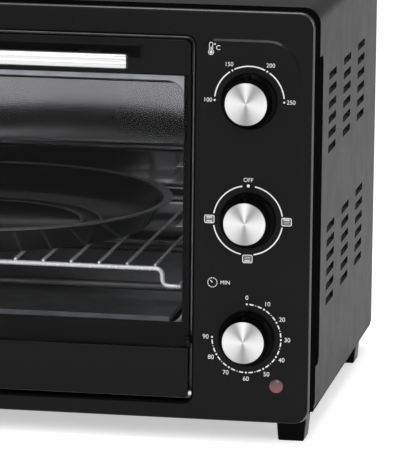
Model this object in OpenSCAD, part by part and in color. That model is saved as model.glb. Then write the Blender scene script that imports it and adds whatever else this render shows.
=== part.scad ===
// Countertop toaster oven: glass drop-down door on the left, three rotary controls on the right.
// Lengths are in millimetres. The row frame has +Z up, -Y towards the cook and X across the front.
// Modules are drawn with the front plane at y = 0 and moved back to the middle by placed().

/* [Housing] */
// Width over the front bezel
body_w = 512; // [500:1:524]
// Height of the bezel's top above the counter
body_top = 319.7; // [316:0.1:324]
// Height of the bezel's bottom edge above the counter
body_bottom = 16; // [15:0.1:17]
// Depth of the bezel's side band
bezel_depth = 29.6; // [28:0.1:31]
// Corner radius of the bezel
bezel_corner = 12; // [8:1:16]
// Distance from the front plane to the rear panel
shell_depth = 352.5; // [350:0.5:360]
// Height of the cover's bottom edge above the counter
cover_bottom = 21.6; // [21:0.1:23]

/* [Door] */
// X position of the oven's centre line
oven_x = -35.4; // [-36:0.1:-35]
// Half the width of the door opening
opening_half = 203.6; // [203:0.1:205]
// Bottom and top of the door opening
opening_z = [29, 299.5];
// Half the width of the glass pane
glass_half = 198.6; // [197:0.1:198.8]
// Thickness of the glass pane
glass_t = 4; // [3:0.5:5]
// Bottom and top of the upper door trim
top_trim_z = [271.3, 297.2];
// Bottom and top of the lower door trim
low_trim_z = [32.2, 69.1];
// Height of the hinge pins
pin_z = 34.8; // [34:0.1:36]
// Distance of the hinge pins behind the front plane
pin_y = 4.6; // [4:0.1:5]
// Length of the handle bar
handle_len = 319.4; // [280:1:340]

/* [Oven cavity] */
// Half the inner width of the cavity
cavity_half = 196; // [194:0.5:197]
// Height of the cavity floor
floor_z = 78.5; // [77:0.5:79]
// Height of the cavity ceiling
ceiling_z = 268; // [266:1:272]
// Distance from the front plane to the cavity's back wall
back_y = 331; // [325:1:332]
// Radius of the heating tubes
heater_r = 3.25; // [3:0.25:4]

/* [Rack and pan] */
// Number of long wires on the rack
rack_wires = 17; // [11:2:17]
// Spacing of the long wires
rack_pitch = 21.15; // [18:0.05:21.2]
// Radius of the rack's frame wire
frame_wire_r = 1.9; // [1.5:0.1:2]
// Radius of the rack's long wires
thin_wire_r = 1.2; // [1:0.1:1.3]
// Rim radius of the pizza pan
pan_r = 153; // [140:1:154]

/* [Controls] */
// X position of the knobs
knob_x = 209; // [207:0.5:211]
// Height of the middle knob
knob_mid_z = 166.5; // [164:0.5:169]
// Spacing of the knobs
knob_pitch = 87.6; // [84:0.1:90]
// Radius of the knob skirt
knob_r = 20.5; // [19:0.5:22]
// Radius of the knob's metal cap
cap_r = 15.6; // [14:0.1:16]

/* [Hidden] */

$fn = 64;
eps = 0.5;

// Reach of the handle in front of the front plane, and of the rear spacers behind it
handle_front = 33;
rear_reach = 361;
front_y = -(rear_reach - handle_front) / 2;

// Sheet and wall thicknesses
sheet = 0.6;
face_t = 2;
half_w = body_w / 2;
cover_half = half_w - 1;
cover_top = body_top - 1;
cover_corner = bezel_corner - 1;
back_out = shell_depth - 0.6;
back_in = back_out - sheet;
slot_y = [bezel_depth, 53.2];
slot_z = [51.9, 282.7];
louvre_len = 44;
louvre_h = 3.6;
louvre_y = [104, 182.7, 261.4];
louvre_z = [261.5, 146.2];
louvre_pitch = 11.05;
louvre_rows = 6;

// Front flange and liner
flange_y = 14;
liner_y = flange_y + sheet;
mouth_half = 194.4;
mouth_z = [83.4, 264.5];
mouth_corner = 14;
pocket_half = 150;
pocket_z = [122, 160];
pocket_y = 349;
heater_y = [110, 262];
upper_heater_z = 252;
lower_heater_z = 92;
heater_half = 211;
insulator_r = 7;

// Door
arm_half = [199, 201.2];
arm_r = [37, 41];
arm_start = 6;
arm_end = 109.5;
tab_start = 106.5;
tab_r = 33.5;
pin_r = 2.5;
trim_half = 201.2;
trim_depth = 12;
glass_y = 2;
glass_z = [low_trim_z[1] - 12, top_trim_z[0] + 10];
seal_notch = 10;
handle_z = 284;
handle_h = 10.9;
handle_d = 10;
post_half = 128;

// Controls
knob_z = [knob_mid_z + knob_pitch, knob_mid_z, knob_mid_z - knob_pitch];
shaft_r = 3;
field_x = [174.3, 246];
field_z = [29.8, 299.3];
field_rise = 0.6;
bracket_y = 14;
bracket_t = 1.2;
bracket_x = [178, 244];
bracket_z = [36, 292];
boss_x = [183, 239];
boss_z = [122, 211];
lamp = [231.5, 44.2];
lamp_r = 5.2;

// Rack and pan
rack_x = -33.5;
rack_y = [28.6, 322];
rack_z = 122.3;
rack_drop = 12.8;
rack_bend = 5;
rack_step = 174.5;
rack_half = 187.5;
rail_z = rack_z - rack_drop - frame_wire_r - 0.1;
pan_y = 170;
pan_z = rack_z + frame_wire_r + 2 * thin_wire_r - 0.25;
pan_rim_z = 147;
tray_z = 84.2;
tray_half = 183;
tray_y = [22, 306];

// Base
base_z = 19;
foot_x = 240.5;
foot_front_y = 27;
foot_rear_y = 298;
foot_h = base_z;
gland = [205, 48];
gland_len = 15;
gland_bore = 3.75;

// ---- helpers ----

module placed() {
    translate([0, front_y, 0]) children();
}

module block(x, y, z) {
    translate([x[0], y[0], z[0]]) cube([x[1] - x[0], y[1] - y[0], z[1] - z[0]]);
}

module rod_y(x, z, y, r) {
    translate([x, y[0], z]) rotate([-90, 0, 0]) cylinder(h = y[1] - y[0], r = r);
}

module rod_x(y, z, x, r) {
    translate([x[0], y, z]) rotate([0, 90, 0]) cylinder(h = x[1] - x[0], r = r);
}

module rod_z(x, y, z, r) {
    translate([x, y, z[0]]) cylinder(h = z[1] - z[0], r = r);
}

// Rounded rectangle in the XZ plane
module round_rect(x, z, r) {
    translate([x[0] + r, z[0]]) square([x[1] - x[0] - 2 * r, z[1] - z[0]]);
    translate([x[0], z[0] + r]) square([x[1] - x[0], z[1] - z[0] - 2 * r]);
    for (cx = [x[0] + r, x[1] - r], cz = [z[0] + r, z[1] - r])
        translate([cx, cz]) circle(r = r);
}

// Extrudes an XZ outline from y[0] to y[1]
module along_y(y) {
    translate([0, y[1], 0]) rotate([90, 0, 0]) linear_extrude(y[1] - y[0]) children();
}

module round_block(x, y, z, r) {
    along_y(y) round_rect(x, z, r);
}

// Draws the children on both sides of the oven's centre line
module both_oven_sides() {
    children();
    translate([2 * oven_x, 0, 0]) mirror([1, 0, 0]) children();
}

// Ring sector in the YZ plane about the hinge pin: angle 0 is straight up, growing rearwards
module pin_sector(r, a) {
    translate([0, pin_y, pin_z]) rotate([0, 90, 0]) rotate([0, 0, 180 - a[1]])
        rotate_extrude(angle = a[1] - a[0], $fn = 128)
            translate([r[0], 0]) square([r[1] - r[0], arm_half[1] - arm_half[0]]);
}

function oven_span(half) = [oven_x - half, oven_x + half];

// ---- housing ----

module front_bezel() {
    placed() color("#1c1c1c") difference() {
        union() {
            difference() {
                round_block([-half_w, half_w], [0, bezel_depth], [body_bottom, body_top], bezel_corner);
                round_block([-half_w + face_t, half_w - face_t], [face_t, bezel_depth + eps],
                    [body_bottom + face_t, body_top - face_t], bezel_corner - face_t);
            }
            // raised field behind the controls
            round_block(field_x, [-field_rise, face_t], field_z, 20);
            // return lip around the door opening, left open low down for the hinge blocks
            block(oven_span(opening_half + 1.6), [face_t, flange_y - 1.5], [44, opening_z[1] + 1.6]);
            for (x = boss_x, z = boss_z)
                rod_y(x, z, [face_t - eps, bracket_y], 3.5);
        }
        block(oven_span(opening_half), [-eps, bezel_depth], opening_z);
        for (z = knob_z)
            rod_y(knob_x, z, [-field_rise - eps, face_t + eps], shaft_r + 0.6);
        rod_y(lamp[0], lamp[1], [-field_rise - eps, face_t + eps], lamp_r);
        for (x = boss_x, z = boss_z)
            rod_y(x, z, [face_t + 2, bracket_y + eps], 1.3);
        // notches that let the front feet reach the base plate
        for (x = [-foot_x, foot_x])
            block([x - 11.5, x + 11.5], [foot_front_y - 13.5, bezel_depth + eps],
                [body_bottom - eps, foot_h + 0.4]);
    }
}

module louvre_cuts() {
    for (z0 = louvre_z, y = louvre_y, row = [0:louvre_rows - 1])
        block([-half_w, half_w], [y - louvre_len / 2, y + louvre_len / 2],
            [z0 - row * louvre_pitch - louvre_h / 2, z0 - row * louvre_pitch + louvre_h / 2]);
}

module outer_cover() {
    placed() color("#2b2b2b") difference() {
        round_block([-cover_half, cover_half], [bezel_depth, shell_depth],
            [cover_bottom - 40, cover_top], cover_corner);
        round_block([-cover_half + sheet, cover_half - sheet], [bezel_depth - eps, shell_depth + eps],
            [cover_bottom - 60, cover_top - sheet], cover_corner - sheet);
        block([-half_w, half_w], [0, shell_depth + eps], [cover_bottom - 70, cover_bottom]);
        louvre_cuts();
        block([-half_w, half_w], [slot_y[0] - eps, slot_y[1]], slot_z);
    }
}

module base_plate() {
    placed() color("#8f9294") difference() {
        union() {
            block([-cover_half + 7, cover_half - 7], [4, bezel_depth + 1], [base_z, base_z + sheet]);
            block([-cover_half + sheet, cover_half - sheet], [bezel_depth + 0.4, back_in], [base_z, base_z + sheet]);
            for (side = [-1, 1])
                translate([side * (cover_half - 1.5 * sheet), 0, 0])
                    block([-sheet / 2, sheet / 2], [60, back_in], [base_z, base_z + 16]);
        }
        for (x = [-180:24:180], y = [120, 240])
            block([x - 2, x + 2], [y - 30, y + 30], [base_z - eps, base_z + sheet + eps]);
        for (x = [-foot_x, foot_x], y = [foot_front_y, foot_rear_y])
            rod_z(x, y, [base_z - eps, base_z + sheet + eps], 2.1);
    }
}

module back_cover() {
    inner = cover_half - sheet;
    placed() color("#8f9294") difference() {
        round_block([-inner, inner], [back_in, back_out],
            [base_z + sheet, cover_top - sheet], cover_corner - sheet);
        for (x = [-200:20:140], z = [70, 105, 230, 265])
            block([x, x + 12], [shell_depth - 3, shell_depth + 1], [z, z + 4]);
        rod_y(gland[0], gland[1], [shell_depth - 3, shell_depth + 1], 7);
        for (x = [-236, -80, 80, 236], z = [34, 306])
            rod_y(x, z, [shell_depth - 3, shell_depth + 1], 1.7);
        for (x = [-150, 150])
            rod_y(x, 180, [shell_depth - 3, shell_depth + 1], 2.6);
    }
}

module oven_liner() {
    placed() color("#a9acae") difference() {
        union() {
            difference() {
                union() {
                    round_block(oven_span(cavity_half + sheet), [liner_y, back_y + sheet],
                        [floor_z - sheet, ceiling_z + sheet], mouth_corner + sheet);
                    round_block(oven_span(pocket_half + sheet), [back_y, pocket_y + sheet],
                        [pocket_z[0] - sheet, pocket_z[1] + sheet], 10);
                }
                round_block(oven_span(cavity_half), [liner_y - eps, back_y],
                    [floor_z, ceiling_z], mouth_corner);
                round_block(oven_span(pocket_half), [back_y - eps, pocket_y],
                    pocket_z, 9);
            }
            // pressed ribs that carry the crumb tray level with the sill
            both_oven_sides()
                block([oven_x + 150, oven_x + 170], [liner_y + 5, back_y - 20], [floor_z - 0.5, tray_z]);
        }
        for (y = heater_y, z = [upper_heater_z, lower_heater_z])
            rod_x(y, z, oven_span(cavity_half + 5), insulator_r);
    }
}

module front_flange() {
    placed() color("#9a9d9f") difference() {
        block(oven_span(opening_half + 5), [flange_y, flange_y + sheet],
            [body_bottom + 4, opening_z[1] + 6]);
        along_y([flange_y - eps, flange_y + sheet + eps])
            round_rect(oven_span(mouth_half), mouth_z, mouth_corner);
        both_oven_sides()
            block([oven_x + arm_half[0] - 0.6, oven_x + arm_half[1] + 0.6],
                [flange_y - eps, flange_y + sheet + eps], [69.6, 77]);
    }
}

module rack_rail() {
    x1 = oven_x + cavity_half;
    block([x1 - sheet, x1], [40, back_y - 12], [rail_z - 6, rail_z + 98]);
    for (k = [0:2])
        block([x1 - 12, x1 - sheet], [40, back_y - 12], [rail_z + 45 * k - sheet, rail_z + 45 * k]);
}

module rack_rail_left() {
    placed() color("#a9acae") translate([2 * oven_x, 0, 0]) mirror([1, 0, 0]) rack_rail();
}

module rack_rail_right() {
    placed() color("#a9acae") rack_rail();
}

// Moulded trough behind the slot at the cover's front edge
module side_grip() {
    x1 = cover_half - sheet;
    difference() {
        block([x1 - 9, x1], [bezel_depth + 0.2, slot_y[1] + 4], [slot_z[0] - 4, slot_z[1] + 4]);
        block([x1 - 7.5, x1 + eps], [bezel_depth + 1.6, slot_y[1] + 1], [slot_z[0] - 1, slot_z[1] + 1]);
    }
}

module side_grip_left() {
    placed() color("#101010") mirror([1, 0, 0]) side_grip();
}

module side_grip_right() {
    placed() color("#101010") side_grip();
}

module heater(y, z) {
    placed() color("#6d6a66") rod_x(y, z, oven_span(heater_half), heater_r);
}

module heater_insulators() {
    placed() color("#e8e2d4")
        for (y = heater_y, z = [upper_heater_z, lower_heater_z])
            both_oven_sides() difference() {
                rod_x(y, z, [oven_x + cavity_half - 1, oven_x + heater_half - 4], insulator_r);
                rod_x(y, z, [oven_x + cavity_half - 2, oven_x + heater_half], heater_r);
            }
}

module heat_shield() {
    placed() color("#b5b8ba") difference() {
        union() {
            block([178, 179], [74, 336], [30, 296]);
            block([178, 196], [74, 336], [base_z + sheet, base_z + 2 * sheet]);
            block([178, 179], [74, 336], [base_z + sheet, 31]);
        }
        for (z = [120:24:240])
            block([177, 180], [140, 240], [z, z + 5]);
    }
}

// ---- controls ----

module control_bracket() {
    placed() color("#b5b8ba") difference() {
        block(bracket_x, [bracket_y, bracket_y + bracket_t], bracket_z);
        for (z = knob_z)
            rod_y(knob_x, z, [bracket_y - eps, bracket_y + bracket_t + eps], 5.1);
        for (x = boss_x, z = boss_z)
            rod_y(x, z, [bracket_y - eps, bracket_y + bracket_t + eps], 1.7);
        rod_y(lamp[0], lamp[1], [bracket_y - eps, bracket_y + bracket_t + eps], 6);
    }
}

// Threaded bush of a switch, with the running bore for its shaft
module switch_bush(z) {
    difference() {
        rod_y(knob_x, z, [bracket_y - 7, bracket_y + bracket_t], 5);
        rod_y(knob_x, z, [bracket_y - 8, bracket_y + bracket_t + eps], shaft_r + 0.05);
    }
}

module switch_case(z, half, depth) {
    difference() {
        block([knob_x - half[0], knob_x + half[0]],
            [bracket_y + bracket_t, bracket_y + bracket_t + depth], [z - half[1], z + half[1]]);
        rod_y(knob_x, z, [bracket_y + bracket_t - eps, bracket_y + bracket_t + 8], shaft_r + 0.05);
    }
}

module thermostat_switch() {
    z = knob_z[0];
    placed() color("#cfc6b0") union() {
        switch_bush(z);
        switch_case(z, [17, 13], 16);
        block([knob_x - 14, knob_x - 10], [31, 44], [z - 4, z + 4]);
        block([knob_x + 10, knob_x + 14], [31, 44], [z - 4, z + 4]);
    }
}

module selector_switch() {
    z = knob_z[1];
    placed() color("#3b3b3b") difference() {
        union() {
            switch_bush(z);
            rod_y(knob_x, z, [bracket_y + bracket_t, bracket_y + bracket_t + 22], 19);
            for (a = [0:60:300])
                translate([knob_x, 0, z]) rotate([0, a, 0])
                    block([11, 13], [bracket_y + 20, bracket_y + 32], [-3, 3]);
        }
        rod_y(knob_x, z, [bracket_y - 8, bracket_y + bracket_t + 8], shaft_r + 0.05);
    }
}

module timer_body() {
    z = knob_z[2];
    placed() color("#b9bcbe") union() {
        switch_bush(z);
        switch_case(z, [24, 20], 34);
    }
}

module timer_bell() {
    y = bracket_y + bracket_t + 34;
    placed() color("#d2d4d6") translate([knob_x, y, knob_z[2]]) rotate([-90, 0, 0]) union() {
        cylinder(h = 14, r = 2.5);
        rotate_extrude($fn = 96) difference() {
            intersection() {
                translate([0, -6]) circle(r = 22);
                translate([0, 3]) square([24, 14]);
            }
            intersection() {
                translate([0, -6]) circle(r = 20.8);
                square([24, 13.6]);
            }
        }
    }
}

module lamp_holder() {
    placed() color("#d8d8d8") difference() {
        union() {
            rod_y(lamp[0], lamp[1], [face_t, face_t + 3], 8);
            rod_y(lamp[0], lamp[1], [face_t, face_t + 20], 5.6);
        }
        rod_y(lamp[0], lamp[1], [face_t - eps, face_t + 8], 4.6);
    }
}

module indicator_lens() {
    placed() color("#b0484c") union() {
        rod_y(lamp[0], lamp[1], [-field_rise - 0.2, face_t], lamp_r - 0.1);
        rod_y(lamp[0], lamp[1], [face_t - 0.1, face_t + 7], 4.5);
        translate([lamp[0], -field_rise - 0.2, lamp[1]]) rotate([90, 0, 0])
            rotate_extrude($fn = 64) intersection() {
                translate([0, -9]) circle(r = sqrt(9 * 9 + pow(lamp_r - 0.1, 2)), $fn = 128);
                square([lamp_r - 0.1, 4]);
            }
    }
}

// Skirted knob: black skirt, core under the metal cap and a pointer nib at twelve o'clock
module knob(z) {
    placed() color("#0c0c0c") translate([knob_x, 0, z]) difference() {
        union() {
            rotate([90, 0, 0]) rotate_extrude($fn = 96)
                polygon([[0, 1.2], [knob_r - 0.5, 1.2], [knob_r, 1.7], [knob_r, 3.4],
                    [cap_r + 1.6, 6.6], [cap_r + 0.9, 9], [cap_r + 0.7, 16.4], [cap_r + 0.2, 16.9],
                    [cap_r, 16.9], [cap_r, 15.9], [0, 15.9]]);
            block([-1.5, 1.5], [-15.5, -3], [cap_r, knob_r - 0.6]);
        }
        rod_y(0, 0, [-13.5, eps], shaft_r);
    }
}

module knob_cap(z) {
    placed() color("#c9c9c9") translate([knob_x, 0, z]) rotate([90, 0, 0]) rotate_extrude($fn = 96)
        polygon([[0, 15.95], [cap_r - 0.1, 15.95], [cap_r - 0.1, 16.7], [cap_r - 0.4, 17], [0, 17]]);
}

module knob_shaft(z) {
    placed() color("#b0b3b5") rod_y(knob_x, z, [-13.4, bracket_y + 8], shaft_r);
}

// ---- hinge blocks, feet, fasteners and rear fittings ----

module hinge_block() {
    difference() {
        block([oven_x + opening_half, oven_x + opening_half + 6], [face_t, flange_y - 1], [28, 42]);
        rod_x(pin_y, pin_z, [oven_x + opening_half - 1, oven_x + opening_half + 7], pin_r + 0.06);
    }
}

module hinge_block_left() {
    placed() color("#7d8082") translate([2 * oven_x, 0, 0]) mirror([1, 0, 0]) hinge_block();
}

module hinge_block_right() {
    placed() color("#7d8082") hinge_block();
}

module foot(x, y) {
    placed() color("#141414") translate([x, y, 0]) difference() {
        hull() {
            translate([-10, -11.5, 0]) cube([20, 23, 0.5]);
            translate([-11, -13, foot_h - 3]) cube([22, 26, 3]);
        }
        rod_z(0, 0, [foot_h - 12, foot_h + eps], 1.6);
    }
}

module foot_screws() {
    placed() color("#c3c6c8")
        for (x = [-foot_x, foot_x], y = [foot_front_y, foot_rear_y]) {
            rod_z(x, y, [foot_h - 11, base_z + sheet], 1.6);
            rod_z(x, y, [base_z + sheet, base_z + sheet + 2.2], 3.8);
        }
}

module back_screws() {
    placed() color("#c3c6c8")
        for (x = [-236, -80, 80, 236], z = [34, 306]) {
            rod_y(x, z, [back_out - 7, back_out], 1.7);
            rod_y(x, z, [back_out, back_out + 2], 3.6);
        }
}

module bracket_screws() {
    placed() color("#c3c6c8")
        for (x = boss_x, z = boss_z) {
            rod_y(x, z, [bracket_y - 8, bracket_y + bracket_t], 1.3);
            rod_y(x, z, [bracket_y + bracket_t, bracket_y + bracket_t + 2], 3.2);
        }
}

module rear_spacers() {
    placed() color("#141414")
        for (x = [-150, 150]) {
            rod_y(x, 180, [back_out - 5, back_out], 2.6);
            rod_y(x, 180, [back_out, rear_reach], 8);
        }
}

module cable_gland() {
    placed() color("#141414") difference() {
        union() {
            rod_y(gland[0], gland[1], [back_out - gland_len / 2, back_out], 7);
            rod_y(gland[0], gland[1], [back_out - gland_len / 2, back_in], 9);
            rod_y(gland[0], gland[1], [back_out, back_out + gland_len / 2], 9);
        }
        rod_y(gland[0], gland[1], [back_out - gland_len, back_out + gland_len], gland_bore);
    }
}

module terminal_block() {
    placed() color("#e4e0d2") difference() {
        block([200, 236], [290, 306], [base_z + sheet, base_z + 15]);
        for (x = [206, 218, 230])
            rod_z(x, 298, [base_z + 8, base_z + 16], 2.5);
    }
}

// ---- crumb tray, rack and pan ----

module crumb_tray() {
    x = oven_span(tray_half);
    placed() color("#c2c4c5") difference() {
        block(x, tray_y, [tray_z, tray_z + 3.6]);
        block([x[0] + sheet, x[1] - sheet], [tray_y[0] + sheet, tray_y[1] - sheet],
            [tray_z + sheet, tray_z + 5]);
    }
}

// Quarter bend of frame wire in the XZ plane, from +X towards the given quadrant
module wire_bend(a) {
    rotate([90, 0, 0]) rotate([0, 0, a]) rotate_extrude(angle = 90, $fn = 64)
        translate([rack_bend, 0]) circle(r = frame_wire_r, $fn = 32);
}

// Half of an end wire, from the rack's middle out to the side bar
module end_wire(y) {
    low = rack_z - rack_drop;
    rod_x(y, rack_z, [rack_x, rack_x + rack_step - rack_bend], frame_wire_r);
    translate([rack_x + rack_step - rack_bend, y, rack_z - rack_bend]) wire_bend(0);
    rod_z(rack_x + rack_step, y, [low + rack_bend, rack_z - rack_bend], frame_wire_r);
    translate([rack_x + rack_step + rack_bend, y, low + rack_bend]) wire_bend(180);
    rod_x(y, low, [rack_x + rack_step + rack_bend, rack_x + rack_half], frame_wire_r);
    translate([rack_x + rack_half, y, low]) sphere(r = frame_wire_r, $fn = 32);
}

module rack_half_frame() {
    for (y = rack_y)
        end_wire(y);
    rod_y(rack_x + rack_half, rack_z - rack_drop, rack_y, frame_wire_r);
}

module wire_rack() {
    wire_z = rack_z + frame_wire_r + thin_wire_r - 0.3;
    n = (rack_wires - 1) / 2;
    placed() color("#d9dadb") union() {
        rack_half_frame();
        translate([2 * rack_x, 0, 0]) mirror([1, 0, 0]) rack_half_frame();
        for (k = [-n:n])
            rod_y(rack_x + k * rack_pitch, wire_z, [rack_y[0] - 1.5, rack_y[1] + 4], thin_wire_r);
    }
}

// Round pan with a sloped wall, a flat rim and two shallow rings pressed in the base
module pizza_pan() {
    z0 = pan_z;
    z1 = pan_rim_z;
    t = 1.2;
    placed() color("#3a3a3b") translate([rack_x + 0.5, pan_y, 0]) rotate_extrude($fn = 192)
        polygon([[0, z0], [135, z0], [pan_r - 6.5, z1 - t], [pan_r, z1 - t], [pan_r, z1],
            [pan_r - 7.5, z1], [134.4, z0 + t], [97, z0 + t], [96.5, z0 + 0.7], [95, z0 + 0.7],
            [94.5, z0 + t], [82, z0 + t], [81.5, z0 + 0.7], [80, z0 + 0.7], [79.5, z0 + t],
            [0, z0 + t]]);
}

// ---- door ----

module door_glass() {
    placed() color([0.1, 0.1, 0.1, 0.4])
        block(oven_span(glass_half), [glass_y, glass_y + glass_t], glass_z);
}

module door_trim(z, groove) {
    difference() {
        block(oven_span(trim_half), [0, trim_depth], z);
        block(oven_span(glass_half), [glass_y, glass_y + glass_t], groove);
    }
}

module door_top_trim() {
    placed() color("#161616") difference() {
        door_trim(top_trim_z, [top_trim_z[0] - eps, glass_z[1]]);
        for (side = [-1, 1])
            rod_y(oven_x + side * post_half, handle_z, [-eps, trim_depth + eps], 2.1);
    }
}

module door_bottom_trim() {
    placed() color("#161616") difference() {
        door_trim(low_trim_z, [glass_z[0], low_trim_z[1] + eps]);
        both_oven_sides()
            rod_x(pin_y, pin_z, [oven_x + 190, oven_x + trim_half + eps], pin_r);
    }
}

// Strip beside the glass edge, with a small foot that fills the corner above the bottom trim
module door_seal() {
    foot_top = low_trim_z[1] + seal_notch + 1;
    union() {
        block([oven_x + glass_half, oven_x + trim_half], [1.6, 9],
            [low_trim_z[1] + seal_notch, top_trim_z[0]]);
        block([oven_x + glass_half - 3, oven_x + trim_half], [7.5, 13], [foot_top - 4, foot_top]);
    }
}

module door_seal_left() {
    placed() color("#101010") translate([2 * oven_x, 0, 0]) mirror([1, 0, 0]) door_seal();
}

module door_seal_right() {
    placed() color("#101010") door_seal();
}

module door_handle_bar() {
    r = 3.6;
    y = [-handle_front, -handle_front + handle_d];
    placed() color("#d5d6d8") translate([oven_x - handle_len / 2, 0, 0]) rotate([90, 0, 90])
        linear_extrude(handle_len) round_rect(y, [handle_z - handle_h / 2, handle_z + handle_h / 2], r);
}

module handle_posts() {
    placed() color("#141414") for (side = [-1, 1])
        difference() {
            block([oven_x + side * post_half - 8, oven_x + side * post_half + 8],
                [-handle_front + handle_d, 0], [handle_z - 4, handle_z + 4]);
            rod_y(oven_x + side * post_half, handle_z, [-15, eps], 2.1);
        }
}

module handle_screws() {
    placed() color("#c3c6c8") for (side = [-1, 1]) {
        rod_y(oven_x + side * post_half, handle_z, [-14, trim_depth], 2.1);
        rod_y(oven_x + side * post_half, handle_z, [trim_depth, trim_depth + 1.6], 4);
    }
}

// Curved arm that guides the door, with a stop tab at its inner end
module hinge_arm() {
    translate([oven_x + arm_half[0], 0, 0]) union() {
        pin_sector(arm_r, [arm_start, arm_end]);
        pin_sector([tab_r, arm_r[1]], [tab_start, arm_end]);
        block([0, arm_half[1] - arm_half[0]], [pin_y, pin_y + 6], [low_trim_z[1], pin_z + arm_r[1] - 1.5]);
    }
}

module hinge_arm_left() {
    placed() color("#7d8082") translate([2 * oven_x, 0, 0]) mirror([1, 0, 0]) hinge_arm();
}

module hinge_arm_right() {
    placed() color("#7d8082") hinge_arm();
}

module hinge_pins() {
    placed() color("#cfd1d3") both_oven_sides()
        rod_x(pin_y, pin_z, [oven_x + 190, oven_x + opening_half + 5], pin_r);
}

// ---- nodes ----

front_bezel();
outer_cover();
base_plate();
back_cover();
oven_liner();
front_flange();
rack_rail_left();
rack_rail_right();
side_grip_left();
side_grip_right();
heater(heater_y[0], upper_heater_z);  // upper_heater_front
heater(heater_y[1], upper_heater_z);  // upper_heater_rear
heater(heater_y[0], lower_heater_z);  // lower_heater_front
heater(heater_y[1], lower_heater_z);  // lower_heater_rear
heater_insulators();
heat_shield();
control_bracket();
thermostat_switch();
selector_switch();
timer_body();
timer_bell();
lamp_holder();
indicator_lens();
hinge_block_left();
hinge_block_right();
foot(-foot_x, foot_front_y);  // foot_front_left
foot(foot_x, foot_front_y);  // foot_front_right
foot(-foot_x, foot_rear_y);  // foot_rear_left
foot(foot_x, foot_rear_y);  // foot_rear_right
foot_screws();
back_screws();
bracket_screws();
rear_spacers();
cable_gland();
terminal_block();
crumb_tray();
wire_rack();
pizza_pan();
door_glass();
door_top_trim();
door_seal_left();
door_seal_right();
door_bottom_trim();
door_handle_bar();
handle_posts();
handle_screws();
hinge_arm_left();
hinge_arm_right();
hinge_pins();
knob(knob_z[0]);  // thermostat_knob
knob_cap(knob_z[0]);  // thermostat_cap
knob_shaft(knob_z[0]);  // thermostat_shaft
knob(knob_z[1]);  // selector_knob
knob_cap(knob_z[1]);  // selector_cap
knob_shaft(knob_z[1]);  // selector_shaft
knob(knob_z[2]);  // timer_knob
knob_cap(knob_z[2]);  // timer_cap
knob_shaft(knob_z[2]);  // timer_shaft
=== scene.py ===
"""Looks of a countertop toaster oven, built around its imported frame.

Everything is in metres in the row frame: +Z up, -Y out of the front, +X to the right seen from
the front. FRONT is the Y of the front plane, and depths are measured behind it.
"""
import math

import bmesh
import bpy
from mathutils import Matrix, Vector


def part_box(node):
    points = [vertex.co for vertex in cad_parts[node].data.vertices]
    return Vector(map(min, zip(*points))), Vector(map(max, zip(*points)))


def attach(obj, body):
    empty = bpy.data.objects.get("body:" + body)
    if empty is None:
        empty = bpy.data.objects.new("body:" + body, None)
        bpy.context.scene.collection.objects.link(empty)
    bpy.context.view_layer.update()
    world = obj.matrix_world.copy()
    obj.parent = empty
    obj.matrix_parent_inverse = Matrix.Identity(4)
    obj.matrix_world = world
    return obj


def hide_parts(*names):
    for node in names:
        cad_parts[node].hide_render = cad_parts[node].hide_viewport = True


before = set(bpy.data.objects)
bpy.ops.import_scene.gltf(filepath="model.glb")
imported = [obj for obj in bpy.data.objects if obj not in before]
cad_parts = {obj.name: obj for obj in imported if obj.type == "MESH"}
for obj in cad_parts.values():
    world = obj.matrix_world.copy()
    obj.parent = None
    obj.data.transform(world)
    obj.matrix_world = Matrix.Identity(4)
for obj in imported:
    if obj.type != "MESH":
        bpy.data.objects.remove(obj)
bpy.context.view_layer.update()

MM = 0.001
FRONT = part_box("door_top_trim")[0].y
KNOBS = ("thermostat", "selector", "timer")
RING_R = 25.5 * MM


def centre(node):
    low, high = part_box(node)
    return (low + high) / 2


# ---------------------------------------------------------------- materials

def material(name, color, roughness, metallic=0.0, specular=0.5):
    mat = bpy.data.materials.new(name)
    mat.use_nodes = True
    shader = mat.node_tree.nodes["Principled BSDF"]
    shader.inputs["Base Color"].default_value = (*color, 1.0)
    shader.inputs["Roughness"].default_value = roughness
    shader.inputs["Metallic"].default_value = metallic
    shader.inputs["Specular IOR Level"].default_value = specular
    return mat


def noise(mat, scale, stretch=(1, 1, 1), detail=3.0):
    """A noise texture over the row frame, with features about 1/scale metres across."""
    nodes, links = mat.node_tree.nodes, mat.node_tree.links
    place = nodes.new("ShaderNodeTexCoord")
    mapping = nodes.new("ShaderNodeMapping")
    mapping.inputs["Scale"].default_value = stretch
    texture = nodes.new("ShaderNodeTexNoise")
    texture.inputs["Scale"].default_value = scale
    texture.inputs["Detail"].default_value = detail
    links.new(place.outputs["Object"], mapping.inputs["Vector"])
    links.new(mapping.outputs["Vector"], texture.inputs["Vector"])
    return texture.outputs["Fac"]


def remap(mat, source, low, high):
    """Spreads the middle of a noise, where most of its values lie, over low to high."""
    node = mat.node_tree.nodes.new("ShaderNodeMapRange")
    node.inputs["From Min"].default_value = 0.3
    node.inputs["From Max"].default_value = 0.7
    node.inputs["To Min"].default_value = low
    node.inputs["To Max"].default_value = high
    mat.node_tree.links.new(source, node.inputs["Value"])
    return node.outputs["Result"]


def rough_between(mat, source, low, high):
    shader = mat.node_tree.nodes["Principled BSDF"]
    mat.node_tree.links.new(remap(mat, source, low, high), shader.inputs["Roughness"])


def colour_between(mat, source, low, high):
    node = mat.node_tree.nodes.new("ShaderNodeMix")
    node.data_type = "RGBA"
    node.inputs["A"].default_value = (*low, 1.0)
    node.inputs["B"].default_value = (*high, 1.0)
    mat.node_tree.links.new(remap(mat, source, 0.0, 1.0), node.inputs["Factor"])
    shader = mat.node_tree.nodes["Principled BSDF"]
    mat.node_tree.links.new(node.outputs["Result"], shader.inputs["Base Color"])


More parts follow.
